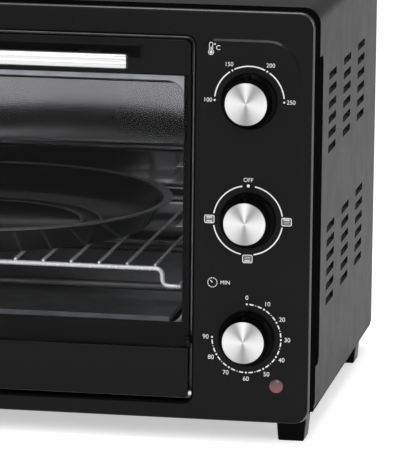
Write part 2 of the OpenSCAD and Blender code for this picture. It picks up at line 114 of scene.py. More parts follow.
def bump(mat, source, strength, distance):
    node = mat.node_tree.nodes.new("ShaderNodeBump")
    node.inputs["Strength"].default_value = strength
    node.inputs["Distance"].default_value = distance
    mat.node_tree.links.new(source, node.inputs["Height"])
    shader = mat.node_tree.nodes["Principled BSDF"]
    mat.node_tree.links.new(node.outputs["Normal"], shader.inputs["Normal"])


# Materials of one colour and an uneven gloss: colour, scale of the unevenness, lowest and
# highest roughness, metallic, specular.
PLAIN = {
    # painted highlight: a lighter, glossier copy of the enamel, kept only on bend faces turned
    # towards the lamps
    "enamel_edge": ((0.01, 0.01, 0.0105), 60, 0.18, 0.26, 0, 1.0),
    # the same painted highlight, softer, on the upward-facing slope round the control field
    "field_edge": ((0.01, 0.01, 0.0105), 60, 0.24, 0.34, 0, 0.3),
    # painted shade: a darker, matt copy of the enamel on the walls that turn back from the face,
    # so they read as black
    "enamel_return": ((0.003, 0.003, 0.003), 80, 0.75, 0.85, 0, 0.0),
    "gloss_plastic": ((0.004, 0.004, 0.004), 80, 0.06, 0.1, 0, 0.09),
    "knob_plastic": ((0.001, 0.001, 0.001), 220, 0.26, 0.36, 0, 0.03),
    "print_black": ((0.002, 0.002, 0.002), 300, 0.55, 0.65, 0, 0.1),
    "chrome": ((0.97, 0.97, 0.97), 300, 0.16, 0.3, 0.5, 0.5),
    "pan_coating": ((0.012, 0.012, 0.0125), 40, 0.14, 0.18, 0, 1.0),
    "dark_steel": ((0.01, 0.01, 0.01), 200, 0.5, 0.6, 0, 0.1),
    "screw_steel": ((0.55, 0.55, 0.56), 900, 0.25, 0.4, 1.0, 0.5),
}


def plain(name):
    color, scale, low, high, metallic, specular = PLAIN[name]
    mat = material(name, color, (low + high) / 2, metallic, specular)
    rough_between(mat, noise(mat, scale), low, high)
    return mat


def gloss_enamel():
    mat = material("gloss_enamel", (0.004, 0.004, 0.0042), 0.3, specular=0.09)
    rough_between(mat, noise(mat, 60), 0.26, 0.34)
    bump(mat, noise(mat, 700, detail=1), 0.03, 0.0002)
    return mat


def cover_paint():
    mat = material("cover_paint", (0.006, 0.006, 0.0064), 0.42, specular=0.05)
    rough_between(mat, noise(mat, 45), 0.41, 0.45)
    bump(mat, noise(mat, 1200, detail=2), 0.04, 0.0002)
    return mat


def black_plastic():
    mat = material("black_plastic", (0.005, 0.005, 0.005), 0.4, specular=0.2)
    rough_between(mat, noise(mat, 150), 0.36, 0.46)
    bump(mat, noise(mat, 1500, detail=2), 0.1, 0.0001)
    return mat


def galvanised():
    mat = material("galvanised", (0.5, 0.51, 0.52), 0.38, metallic=1.0)
    colour_between(mat, noise(mat, 90, detail=6), (0.42, 0.43, 0.44), (0.56, 0.57, 0.58))
    rough_between(mat, noise(mat, 200), 0.32, 0.45)
    return mat


def liner_steel():
    mat = material("liner_steel", (0.32, 0.32, 0.32), 0.09, metallic=0.97)
    colour_between(mat, noise(mat, 8), (0.3, 0.3, 0.3), (0.34, 0.34, 0.34))
    rough_between(mat, noise(mat, 6), 0.08, 0.11)
    return mat


def heater_sheath():
    mat = material("heater_sheath", (0.12, 0.115, 0.11), 0.45, metallic=0.8)
    colour_between(mat, noise(mat, 120, (0.3, 1, 1)), (0.08, 0.078, 0.076), (0.17, 0.165, 0.16))
    return mat


def ceramic():
    mat = material("ceramic", (0.75, 0.71, 0.62), 0.55)
    colour_between(mat, noise(mat, 500), (0.7, 0.66, 0.57), (0.8, 0.77, 0.68))
    return mat


def pan_edge():
    """Paler grey on the rolled rim and the pressed rings: the coating worn there, and a painted
    sheen where they catch the light.
    """
    mat = material("pan_edge", (0.16, 0.16, 0.165), 0.35, metallic=0.5)
    colour_between(mat, noise(mat, 250, detail=4), (0.2, 0.2, 0.205), (0.34, 0.34, 0.345))
    return mat


def handle_metal():
    mat = material("handle_metal", (0.62, 0.62, 0.63), 0.25, metallic=1.0)
    rough_between(mat, noise(mat, 12, (1, 120, 120)), 0.25, 0.29)
    return mat


def spun_metal_painted_sheen():
    """Metal turned on a lathe, with painted highlights: fans of lighter and darker grey about the
    disc's centre stand in for the lamps' light on its turned grooves.
    """
    mat = material("spun_metal_painted_sheen", (0.6, 0.6, 0.6), 0.3, metallic=1.0)
    nodes, links = mat.node_tree.nodes, mat.node_tree.links
    shader = nodes["Principled BSDF"]
    shader.inputs["Anisotropic"].default_value = 0.7
    tangent = nodes.new("ShaderNodeTangent")
    tangent.direction_type = "RADIAL"
    tangent.axis = "Y"
    links.new(tangent.outputs["Tangent"], shader.inputs["Tangent"])
    place = nodes.new("ShaderNodeTexCoord")
    turn = nodes.new("ShaderNodeMapping")
    turn.inputs["Rotation"].default_value = (-math.pi / 2, 0, 0)
    turn.inputs["Scale"].default_value = (1, 1, -1)
    sheen_fan = nodes.new("ShaderNodeTexGradient")
    sheen_fan.gradient_type = "RADIAL"
    ramp = nodes.new("ShaderNodeValToRGB")
    ramp.color_ramp.interpolation = "B_SPLINE"
    # painted highlight: grey levels round the disc, light in the fans that would catch the lamps
    # and dark between them
    sheen_stops = ((0.0, 0.66), (0.08, 0.58), (0.15, 0.26), (0.19, 0.32), (0.225, 0.66), (0.25, 0.74),
             (0.275, 0.66), (0.31, 0.32), (0.355, 0.26), (0.42, 0.54), (0.5, 0.66), (0.58, 0.62),
             (0.67, 0.5), (0.73, 0.26), (0.77, 0.26), (0.83, 0.5), (0.92, 0.62), (1.0, 0.66))
    elements = ramp.color_ramp.elements
    for spot, grey in sheen_stops[1:-1]:
        elements.new(spot)
    for element, (spot, grey) in zip(elements, sheen_stops):
        element.position = spot
        element.color = (grey, grey, grey, 1)
    links.new(place.outputs["Object"], turn.inputs["Vector"])
    links.new(turn.outputs["Vector"], sheen_fan.inputs["Vector"])
    links.new(sheen_fan.outputs["Fac"], ramp.inputs["Fac"])
    links.new(ramp.outputs["Color"], shader.inputs["Base Color"])
    return mat


def switch_plastic():
    mat = material("switch_plastic", (0.5, 0.45, 0.33), 0.5)
    colour_between(mat, noise(mat, 200), (0.46, 0.41, 0.3), (0.54, 0.49, 0.36))
    return mat


def lens_red():
    """Clear red cap with painted shade: dusky and darker towards the top, pinker below."""
    mat = material("lens_red", (0.25, 0.05, 0.07), 0.12)
    nodes, links = mat.node_tree.nodes, mat.node_tree.links
    place = nodes.new("ShaderNodeTexCoord")
    split = nodes.new("ShaderNodeSeparateXYZ")
    # painted shade: the colour darkens towards the top of the cap, with fine specks added from the
    # noise
    level = nodes.new("ShaderNodeMath")
    level.operation = "MULTIPLY_ADD"
    per_metre = 0.045 / MM
    level.inputs[1].default_value = per_metre
    level.inputs[2].default_value = 0.5 - per_metre * centre("indicator_lens").z
    shade_and_specks = nodes.new("ShaderNodeMath")
    shade_and_specks.operation = "MULTIPLY_ADD"
    shade_and_specks.inputs[1].default_value = 0.25
    links.new(place.outputs["Object"], split.inputs["Vector"])
    links.new(split.outputs["Z"], level.inputs[0])
    links.new(noise(mat, 700), shade_and_specks.inputs[0])
    links.new(level.outputs["Value"], shade_and_specks.inputs[2])
    colour_between(mat, shade_and_specks.outputs["Value"], (0.25, 0.035, 0.04), (0.095, 0.045, 0.055))
    return mat


def legend_white():
    mat = material("legend_white", (0.72, 0.72, 0.72), 0.5)
    colour_between(mat, noise(mat, 2000), (0.66, 0.66, 0.66), (0.76, 0.76, 0.76))
    return mat


def tinted_glass():
    """Grey glass that lets lamps through: clear with a tint, and glossier at a slant."""
    mat = bpy.data.materials.new("tinted_glass")
    mat.use_nodes = True
    nodes, links = mat.node_tree.nodes, mat.node_tree.links
    nodes.remove(nodes["Principled BSDF"])
    clear = nodes.new("ShaderNodeBsdfTransparent")
    clear.inputs["Color"].default_value = (0.84, 0.84, 0.85, 1.0)
    gloss = nodes.new("ShaderNodeBsdfGlossy")
    gloss.inputs["Roughness"].default_value = 0.02
    gloss.inputs["Color"].default_value = (0.8, 0.8, 0.8, 1.0)
    slant = nodes.new("ShaderNodeLayerWeight")
    slant.inputs["Blend"].default_value = 0.5
    power = nodes.new("ShaderNodeMath")
    power.operation = "POWER"
    power.inputs[1].default_value = 5
    share = nodes.new("ShaderNodeMapRange")
    share.inputs["To Min"].default_value = 0.003
    share.inputs["To Max"].default_value = 0.5
    mix = nodes.new("ShaderNodeMixShader")
    links.new(slant.outputs["Facing"], power.inputs[0])
    links.new(power.outputs["Value"], share.inputs["Value"])
    links.new(share.outputs["Result"], mix.inputs[0])
    links.new(clear.outputs["BSDF"], mix.inputs[1])
    links.new(gloss.outputs["BSDF"], mix.inputs[2])
    links.new(mix.outputs["Shader"], nodes["Material Output"].inputs["Surface"])
    return mat


MATS = {name: plain(name) for name in PLAIN}
MATS.update({make.__name__: make() for make in (
    gloss_enamel, cover_paint, black_plastic, galvanised, liner_steel, heater_sheath, ceramic,
    pan_edge, handle_metal, spun_metal_painted_sheen, switch_plastic, lens_red, legend_white, tinted_glass)})


# ---------------------------------------------------------------- mesh helpers

def facing_front(a, b, depth):
    """A point of the front view: a is X, b is Z, and depth is behind the front plane."""
    return (a, FRONT + depth, b)


def rounded(a0, a1, b0, b1, radii, steps=6):
    """Returns a function of inset that gives a rounded rectangle's points.

    radii are for the corners (a1, b0), (a1, b1), (a0, b1) and (a0, b0)."""
    if not hasattr(radii, "__len__"):
        radii = (radii,) * 4
    corners = ((a1, b0, 1, -1, -90), (a1, b1, 1, 1, 0), (a0, b1, -1, 1, 90), (a0, b0, -1, -1, 180))

    def outline(inset=0.0):
        points = []
        for (a, b, side_a, side_b, start), radius in zip(corners, radii):
            r = max(radius - inset, 0.02 * MM)
            mid_a = a - side_a * (inset + r)
            mid_b = b - side_b * (inset + r)
            for i in range(steps + 1):
                angle = math.radians(start + 90 * i / steps)
                points.append((mid_a + r * math.cos(angle), mid_b + r * math.sin(angle)))
        return points
    return outline


def on_circle(radius, i, count):
    """Point number i of count points spaced evenly round a circle."""
    return radius * math.cos(math.tau * i / count), radius * math.sin(math.tau * i / count)


def round_hole(a, b, radius, count=32):
    def outline(inset=0.0):
        return [(a + u, b + v)
                for u, v in (on_circle(radius - inset, i, count) for i in range(count))]
    return outline


def quarter(steps):
    """Angles from 0 to a right angle."""
    return [math.pi / 2 * i / steps for i in range(steps + 1)]


def edge_round(radius, level, steps=4):
    """Profile (inset, depth) that rounds a front edge, with a flat strip kept beside it."""
    arc = [(radius * (1 - math.sin(t)), level + radius * (1 - math.cos(t)))
           for t in quarter(steps)]
    return [(radius * 1.35, level)] + arc


def bridge(bm, one, two, slot=0):
    """Joins two closed loops of points with a band of faces."""
    for i in range(len(one)):
        j = (i + 1) % len(one)
        bm.faces.new((one[i], one[j], two[j], two[i])).material_index = slot


def stack(bm, outline, profile, place=facing_front, grow=1, slots=(0,)):
    """Loops of the outline at each (inset, depth) of the profile, joined by faces.

    slots gives the material index of each band of faces, and the last one carries on."""
    loops = [[bm.verts.new(place(a, b, depth)) for a, b in outline(grow * inset)]
             for inset, depth in profile]
    for k, (one, two) in enumerate(zip(loops, loops[1:])):
        bridge(bm, one, two, slots[min(k, len(slots) - 1)])
    return loops[0], loops[-1]


def fill(bm, *loops):
    """Closes the flat area inside the first loop and outside the others."""
    if len(loops) == 1:
        bm.faces.new(loops[0])
        return
    edges = []
    for loop in loops:
        for i in range(len(loop)):
            pair = (loop[i], loop[(i + 1) % len(loop)])
            edges.append(bm.edges.get(pair) or bm.edges.new(pair))
    bmesh.ops.triangle_fill(bm, use_beauty=True, edges=edges)


def close(bm, ends):
    """Fills the front and back of a plate, from the two end loops of its edge and each hole."""
    for loops in zip(*ends):
        fill(bm, *loops)


def solid(bm, outline, profile, place=facing_front):
    """A stack with both its ends filled."""
    for loop in stack(bm, outline, profile, place):
        fill(bm, loop)


def piece(name, bm, mat, body, stands_for=(), at=(0, 0, 0), sharp=40):
    """Turns bm into the shown piece. Edges sharper than sharp degrees stay crisp."""
    bmesh.ops.recalc_face_normals(bm, faces=bm.faces)
    mesh = bpy.data.meshes.new(name)
    bm.to_mesh(mesh)
    bm.free()
    mesh.polygons.foreach_set("use_smooth", [True] * len(mesh.polygons))
    mesh.set_sharp_from_angle(angle=math.radians(sharp))
    obj = bpy.data.objects.new(name, mesh)
    bpy.context.scene.collection.objects.link(obj)
    obj.location = at
    for mat_name in mat.split():
        mesh.materials.append(MATS[mat_name])
    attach(obj, body)
    if stands_for:
        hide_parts(*stands_for)


def plate(bm, outer, holes, front, back, edge, place=facing_front):
    """A flat plate with rounded front edges and through holes."""
    profile = edge_round(edge, front) + [(0, back)]
    ends = [stack(bm, outer, profile, place)]
    ends += [stack(bm, hole, profile, place, grow=-1) for hole in holes]
    close(bm, ends)


def lathe(bm, profile, axis_point, axis="y", count=96, marked=()):
    """Turns (radius, height) points about an axis: heights run out of the front, or up.

    Bands of faces whose number is in marked take the second material."""
    x0, y0, z0 = axis_point
    loops = []
    for radius, height in profile:
        r = max(radius, 0.01 * MM)
        ring = []
        for i in range(count):
            a, b = on_circle(r, i, count)
            spot = (x0 + a, y0 - height, z0 + b) if axis == "y" else (x0 + a, y0 + b, z0 + height)
            ring.append(bm.verts.new(spot))
        loops.append(ring)
    for k, (one, two) in enumerate(zip(loops, loops[1:])):
        bridge(bm, one, two, int(k in marked))
    bm.faces.new(loops[0])
    bm.faces.new(loops[-1])


def filleted(points, radius, steps=5):
    """The polyline with its inner corners turned into arcs."""
    pts = [Vector(p) for p in points]
    path = [pts[0]]
    for before, corner, after in zip(pts, pts[1:], pts[2:]):
        u = (before - corner).normalized()
        v = (after - corner).normalized()
        start, end = corner + u * radius, corner + v * radius
        hub = corner + (u + v) * radius
        for t in quarter(steps):
            path.append(hub + (start - hub) * math.cos(t) + (end - hub) * math.sin(t))
    return path + [pts[-1]]


def tube(bm, path, radius, sides=12):
    """A round wire along a path, with domed ends."""
    n = len(path)
    rings = []
    side_axis = None
    for i, point in enumerate(path):
        ahead = (path[min(i + 1, n - 1)] - path[max(i - 1, 0)]).normalized()
        if side_axis is None:
            side_axis = ahead.orthogonal().normalized()
        side_axis = (side_axis - ahead * side_axis.dot(ahead)).normalized()
        other = ahead.cross(side_axis)
        spots = [(point, radius)]
        if i == 0:
            spots = [(point + ahead * radius * k, radius * s)
                     for k, s in ((0, 0.35), (0.3, 0.75), (0.8, 1))]
        elif i == n - 1:
            spots = [(point - ahead * radius * k, radius * s)
                     for k, s in ((0.8, 1), (0.3, 0.75), (0, 0.35))]
        for spot, r in spots:
            ring = [on_circle(r, k, sides) for k in range(sides)]
            rings.append([bm.verts.new(spot + side_axis * u + other * v) for u, v in ring])
    for one, two in zip(rings, rings[1:]):
        bridge(bm, one, two)
    bm.faces.new(rings[0])
    bm.faces.new(rings[-1])


# ---------------------------------------------------------------- housing

BEZEL_LOW, BEZEL_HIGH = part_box("front_bezel")
TRIM_LOW, TRIM_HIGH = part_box("door_top_trim")
SILL_LOW, SILL_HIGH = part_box("door_bottom_trim")
LENS = centre("indicator_lens")
GAP = 2.4 * MM
OPENING = (TRIM_LOW.x - GAP, TRIM_HIGH.x + GAP, SILL_LOW.z - 3.2 * MM, TRIM_HIGH.z + 2.3 * MM)
# The control field: its sides, how far it stands out, and how far its back is sunk in.
FIELD_X = (174.3 * MM, 246 * MM)
FIELD_RISE = 0.7 * MM
FIELD_SUNK = 0.3 * MM
SHAFT_HOLE_R = 3.6 * MM
LENS_HOLE_R = 5.3 * MM


def control_holes():
    holes = [round_hole(centre(k + "_shaft").x, centre(k + "_shaft").z, SHAFT_HOLE_R)
             for k in KNOBS]
    return holes + [round_hole(LENS.x, LENS.z, LENS_HOLE_R)]


def keep_lit_edges(bm, lit, other):
    """Keeps the second material, a painted highlight, on bend faces whose normal is lit. other
    picks the rest's.
    """
    bmesh.ops.recalc_face_normals(bm, faces=bm.faces)
    for face in bm.faces:
        if face.material_index == 1 and not lit(face.normal):
            face.material_index = other(face.normal)


def make_bezel():
    bm = bmesh.new()
    depth = BEZEL_HIGH.y - FRONT
    outer = rounded(BEZEL_LOW.x, BEZEL_HIGH.x, BEZEL_LOW.z, BEZEL_HIGH.z, 12 * MM, steps=10)
    wall = 2 * MM
    shell = edge_round(2.6 * MM, 0, 6) + [
        (0, depth - 0.6 * MM), (0.5 * MM, depth), (wall, depth), (wall, wall)]
    lip_depth, lip_width = 12.5 * MM, 1.6 * MM
    lip = edge_round(1.2 * MM, 0) + [(0, lip_depth), (lip_width, lip_depth), (lip_width, wall)]
    opening = rounded(*OPENING, 6 * MM)
    # the face takes the plain enamel, the rounded bend a painted highlight and the walls behind it
    # painted shade
    ends = [stack(bm, outer, shell, slots=[0] + [1] * 6 + [2]),
            stack(bm, opening, lip, grow=-1, slots=[2])]
    lip_end = ends[1][1]
    for hole in control_holes():
        ends.append(stack(bm, hole, [(0, 0), (0, wall)], grow=-1))
    fill(bm, *[first for first, last in ends])
    fill(bm, ends[0][1], lip_end, *[last for first, last in ends[2:]])
    # painted highlight stays only on bend faces turned right or up; the other bend faces get
    # painted shade or the plain enamel
    keep_lit_edges(bm, lambda n: 0.4 < max(n.x, n.z) < 0.93, lambda n: 2 if n.y > -0.5 else 0)
    piece("bezel_shell", bm, "gloss_enamel enamel_edge enamel_return",
          "housing", ["front_bezel"])


def make_control_field():
    bm = bmesh.new()
    outer = rounded(*FIELD_X, OPENING[2] + 0.8 * MM, OPENING[3] - 0.2 * MM,
                    (20 * MM, 24 * MM, 9 * MM, 24 * MM), steps=10)
    slope = 2.6 * MM
    shoulder = [(slope + 0.6 * MM, -FIELD_RISE)]
    shoulder += [(slope * (1 - t), -FIELD_RISE * (1 + math.cos(math.pi * t)) / 2)
                 for t in (i / 6 for i in range(7))]
    ends = [stack(bm, outer, shoulder + [(0, FIELD_SUNK)], slots=[0] + [1] * 6 + [0])]
    for hole in control_holes():
        ends.append(stack(bm, hole, [(0, -FIELD_RISE), (0, FIELD_SUNK)], grow=-1))
    close(bm, ends)
    # painted highlight stays only on slope faces turned up along the top edge; the rest of the
    # slope gets the plain enamel
    keep_lit_edges(bm, lambda n: n.z > 0.2 and -0.2 * n.z < n.x < 0.6 * n.z, lambda n: 0)
    piece("control_field", bm, "gloss_enamel field_edge", "housing")


COVER_LOW, COVER_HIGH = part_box("outer_cover")
COVER_WALL = 0.8 * MM
COVER_BEND = 11 * MM
GRIP_LOW, GRIP_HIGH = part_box("side_grip_right")
# Louvres: three columns, each an upper and a lower group of rows.
LOUVRE_COLUMNS = [FRONT + 104 * MM + k * 78.7 * MM for k in range(3)]
LOUVRE_TOPS = (261.5 * MM, 146.2 * MM)
LOUVRE_ROWS = 6
LOUVRE_PITCH = 11.05 * MM
LOUVRE_SIZE = (39 * MM, 5.2 * MM)


def louvre_holes():
    half_y, half_z = LOUVRE_SIZE[0] / 2, LOUVRE_SIZE[1] / 2
    return [rounded(y - half_y, y + half_y, top - row * LOUVRE_PITCH - half_z,
                    top - row * LOUVRE_PITCH + half_z, 1.2 * MM, 3)
            for y in LOUVRE_COLUMNS for top in LOUVRE_TOPS for row in range(LOUVRE_ROWS)]


def cover_side(bm, side):
    """One side wall of the cover, seen from that side, with its louvres and grip slot."""
    x = side * COVER_HIGH.x

    def place(a, b, depth):
        return (x - side * depth, a, b)
    grip = rounded(COVER_LOW.y - 12 * MM, GRIP_HIGH.y - 4 * MM, GRIP_LOW.z + 4 * MM,
                   GRIP_HIGH.z - 4 * MM, 7 * MM)
    wall_top = COVER_HIGH.z - COVER_BEND
    outline = [(COVER_LOW.y, COVER_LOW.z), (COVER_HIGH.y, COVER_LOW.z),
               (COVER_HIGH.y, wall_top), (COVER_LOW.y, wall_top)]
    notch = [p for p in grip() if p[0] > COVER_LOW.y + 0.1 * MM]
    notch = [(COVER_LOW.y, GRIP_LOW.z + 4 * MM)] + notch + [(COVER_LOW.y, GRIP_HIGH.z - 4 * MM)]
    edge = outline + notch[::-1]
    wall = COVER_WALL
    loops = [[bm.verts.new(place(a, b, d)) for a, b in edge] for d in (0, wall)]
    bridge(bm, *loops)
    profile = edge_round(0.25 * MM, 0, steps=2) + [(0, wall)]
    ends = [stack(bm, hole, profile, place, grow=-1) for hole in louvre_holes()]
    for hole in louvre_holes():
        along, heights = zip(*hole())
        near, far, sill = min(along), max(along), min(heights)
        vane = [(sill - 0.2 * MM, wall), (sill - 0.2 * MM, wall + 0.5 * MM),
                (sill + 1.3 * MM, wall + 2.6 * MM), (sill + 1.7 * MM, wall + 2.3 * MM),
                (sill + 0.3 * MM, wall)]
        sides = [[bm.verts.new(place(y, z, depth)) for z, depth in vane] for y in (near, far)]
        bridge(bm, *sides)
        for side_loop in sides:
            bm.faces.new(side_loop)
    close(bm, [loops] + ends)


def make_cover():
    bm = bmesh.new()
    for side in (-1, 1):
        cover_side(bm, side)
    sections = []
    for r in (COVER_BEND, COVER_BEND - COVER_WALL):
        arc = []
        for side, start in ((1, 0), (-1, 90)):
            for i in range(9):
                t = math.radians(start + 90 * i / 8)
                hub = side * (COVER_HIGH.x - COVER_BEND)
                arc.append((hub + r * math.cos(t), COVER_HIGH.z - COVER_BEND + r * math.sin(t)))
        sections.append(arc)
    ring = sections[0] + sections[1][::-1]
    loops = [[bm.verts.new((x, y, z)) for x, z in ring] for y in (COVER_LOW.y, COVER_HIGH.y)]
    bridge(bm, *loops)
    count = len(ring)
    half = count // 2
    for loop in loops:
        for i in range(half - 1):
            bm.faces.new((loop[i], loop[i + 1], loop[count - 2 - i], loop[count - 1 - i]))
    piece("cover_shell", bm, "cover_paint", "housing",
          ["outer_cover"])


def make_side_grips():
    for side, name in ((-1, "left"), (1, "right")):
        node = "side_grip_" + name
        low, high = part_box(node)
        rim_x = high.x if side > 0 else low.x
        deep = high.x - low.x

        def place(a, b, depth):
            return (rim_x - side * depth, a, b)
        outline = rounded(low.y, high.y, low.z, high.z, 8 * MM)
        bm = bmesh.new()
        solid(bm, outline, [
            (5 * MM, deep - 1.5 * MM), (3.2 * MM, deep - 2.2 * MM), (2.4 * MM, 1 * MM),
            (2 * MM, 0), (0, 0), (0, deep - 2 * MM), (2 * MM, deep)], place)
        piece("grip_trough_" + name, bm, "print_black", "housing", [node])


def make_flange():
    low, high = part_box("front_flange")
    mid, half = (low.x + high.x) / 2, 194.4 * MM
    mouth_z = (83.4 * MM, 264.5 * MM)
    bm = bmesh.new()
    outer = rounded(low.x, high.x, low.z, high.z, 2 * MM)
    mouth = rounded(mid - half, mid + half, *mouth_z, 14 * MM, steps=10)
    front, back = low.y - FRONT, high.y - FRONT
    ends = [stack(bm, outer, [(0, front), (0, back)])]
    lip = edge_round(1.4 * MM, front, 5) + [(0, back + 4 * MM), (0.6 * MM, back + 4 * MM),
                                            (0.6 * MM, back)]
    ends.append(stack(bm, mouth, lip, grow=-1))
    for node in ("hinge_arm_left", "hinge_arm_right"):
        arm_low, arm_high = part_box(node)
        slot = rounded(arm_low.x - 0.6 * MM, arm_high.x + 0.6 * MM, 69.6 * MM, 77 * MM, 0.8 * MM)
        ends.append(stack(bm, slot, [(0, front), (0, back)], grow=-1))
    close(bm, ends)
    piece("mouth_flange", bm, "galvanised", "housing", ["front_flange"])


LINER_LOW, LINER_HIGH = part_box("oven_liner")


def make_liner():
    """The cavity as one folded skin: walls, rounded back corners and the pan's pocket."""
    wall, bend = 0.6 * MM, 7 * MM
    back, deep = 331 * MM, 349 * MM
    x0, x1 = LINER_LOW.x + wall, LINER_HIGH.x - wall
    z0, z1 = LINER_LOW.z + wall, LINER_HIGH.z - wall
    mid = (x0 + x1) / 2
    cavity = rounded(x0, x1, z0, z1, 14 * MM, steps=8)
    pocket = rounded(mid - 150 * MM, mid + 150 * MM, 122 * MM, 160 * MM, 12 * MM, steps=8)
    front = LINER_LOW.y - FRONT
    corner = [(bend * (1 - math.cos(t)), back - bend * (1 - math.sin(t))) for t in quarter(6)]
    inner = [(0, front)] + corner + [(bend + 2 * MM, back)]
    outer = [(-wall, front), (-wall, back + wall)]
    bm = bmesh.new()
    mouth_in, wall_in = stack(bm, cavity, inner)
    mouth_out, wall_out = stack(bm, cavity, outer)
    bridge(bm, mouth_in, mouth_out)
    dip = 5 * MM
    slope = [(-dip * (1 - math.sin(t)), back + dip * (1 - math.cos(t))) for t in quarter(4)]
    end = [(dip * (1 - math.cos(t)), deep - dip * (1 - math.sin(t))) for t in quarter(4)]
    rim_in, floor_in = stack(bm, pocket, [(-dip - 2 * MM, back)] + slope + end)
    rim_out, floor_out = stack(bm, pocket, [(-wall, back + wall), (-wall, deep + wall)])
    for loops in ((wall_in, rim_in), (wall_out, rim_out), (floor_in,), (floor_out,)):
        fill(bm, *loops)
    # two ribs on the floor carry the crumb tray
    rib_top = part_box("crumb_tray")[0].z - 0.05 * MM
    for x in (mid - 160 * MM, mid + 160 * MM):
        rib = rounded(x - 10 * MM, x + 10 * MM, z0 - 0.3 * MM, rib_top,
                      (0.1 * MM, 2 * MM, 2 * MM, 0.1 * MM))
        solid(bm, rib, [(0, front + 5 * MM), (0, back - 20 * MM)])
    piece("liner_skin", bm, "liner_steel", "housing", ["oven_liner"], sharp=50)


def make_feet():
    for node in ("foot_front_left", "foot_front_right", "foot_rear_left", "foot_rear_right"):
        low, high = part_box(node)
        outline = rounded(low.x, high.x, low.y, high.y, 2.5 * MM, 4)
        bm = bmesh.new()
        solid(bm, outline, [(2.2 * MM, low.z), (1.4 * MM, low.z + 0.8 * MM),
                            (0, high.z - 3 * MM), (0, high.z)],
              lambda a, b, height: (a, b, height))
        piece("pad_" + node, bm, "knob_plastic", "housing", [node])


def screw_head(bm, x, y, z, radius, height):
    """A domed head with a cross recess, facing +Y."""
    rings, spokes = 8, 48
    slot = 0.16 * radius
    loops = []
    for k in range(1, rings + 1):
        r = radius * k / rings
        ring = []
        for i in range(spokes):
            a, b = on_circle(r, i, spokes)
            rise = height * math.sqrt(1 - 0.75 * (k / rings) ** 2)
            if k <= 5 and min(abs(a), abs(b)) < slot:
                rise -= 0.5 * height
            ring.append(bm.verts.new((x + a, y + rise, z + b)))
        loops.append(ring)
    loops.append([bm.verts.new((v.co.x, y, v.co.z)) for v in loops[-1]])
    for one, two in zip(loops, loops[1:]):
        bridge(bm, one, two)
    bm.faces.new(loops[0])
    bm.faces.new(loops[-1])


def make_back_fittings():
    low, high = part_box("back_screws")
    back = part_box("back_cover")[1].y
    bm = bmesh.new()
    head_r = 3.6 * MM
    for x in (low.x + head_r, -80 * MM, 80 * MM, high.x - head_r):
        for z in (low.z + head_r, high.z - head_r):
            screw_head(bm, x, back, z, head_r, high.y - back)
    piece("back_screw_heads", bm, "screw_steel", "housing", ["back_screws"],
          sharp=25)
    low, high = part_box("rear_spacers")
    bm = bmesh.new()
    spacer_r, tip = 8 * MM, back - high.y
    for x in (low.x + spacer_r, high.x - spacer_r):
        lathe(bm, [(0, tip), (5.6 * MM, tip), (7.2 * MM, tip + 1.4 * MM), (spacer_r, 0),
                   (2.6 * MM, 0), (0, 5 * MM)], (x, back, (low.z + high.z) / 2), count=48)
    piece("spacer_buttons", bm, "black_plastic", "housing", ["rear_spacers"])


# ---------------------------------------------------------------- door

# The side seals of the glass stop this high, to leave room for the hinge arms.
NOTCH_Z = SILL_HIGH.z + 10 * MM


def make_door():
    for end, low, high, below, above, edge in (
            ("top", TRIM_LOW, TRIM_HIGH, 0.8 * MM, 5 * MM, 0.9 * MM),
            ("bottom", SILL_LOW, SILL_HIGH, 3 * MM, 1 * MM, 1 * MM)):
        bm = bmesh.new()
        outline = rounded(low.x, high.x, low.z, high.z, (below, above, above, below))
        plate(bm, outline, [], 0, high.y - FRONT, edge)
        piece(end + "_trim_moulding", bm, "gloss_plastic", "door",
              [f"door_{end}_trim"])
    low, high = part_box("door_glass")
    bm = bmesh.new()
    pane = rounded(low.x, high.x, low.z, high.z, 1 * MM)
    plate(bm, pane, [], low.y - FRONT, high.y - FRONT, 0.4 * MM)
    piece("glass_pane", bm, "tinted_glass", "door", ["door_glass"])
    bm = bmesh.new()
    window = rounded(low.x + 3.4 * MM, high.x - 3.4 * MM, SILL_HIGH.z + 18.4 * MM,
                     TRIM_LOW.z - 1.5 * MM, 0.6 * MM)
    sheet = [(0, high.y - FRONT + 0.05 * MM), (0, high.y - FRONT + 0.25 * MM)]
    close(bm, [stack(bm, pane, sheet), stack(bm, window, sheet)])
    piece("glass_print", bm, "print_black", "door")
    for side, name in ((-1, "left"), (1, "right")):
        edge, rim = (low.x, TRIM_LOW.x) if side < 0 else (high.x, TRIM_HIGH.x)
        near, far = sorted((edge + side * 0.05 * MM, rim))
        bm = bmesh.new()
        strip = rounded(near, far, NOTCH_Z, TRIM_LOW.z, 0.5 * MM, 3)
        plate(bm, strip, [], 1.6 * MM, 9 * MM, 0.3 * MM)
        strip_faces = set(bm.faces)
        near, far = sorted((edge - side * 3 * MM, rim))
        foot = rounded(near, far, NOTCH_Z - 3 * MM, NOTCH_Z + 1 * MM, 0.5 * MM, 3)
        plate(bm, foot, [], 7.5 * MM, 13 * MM, 0.3 * MM)
        for face in bm.faces:
            face.material_index = 0 if face in strip_faces else 1
        piece("seal_strip_" + name, bm, "print_black knob_plastic", "door",
              ["door_seal_" + name])


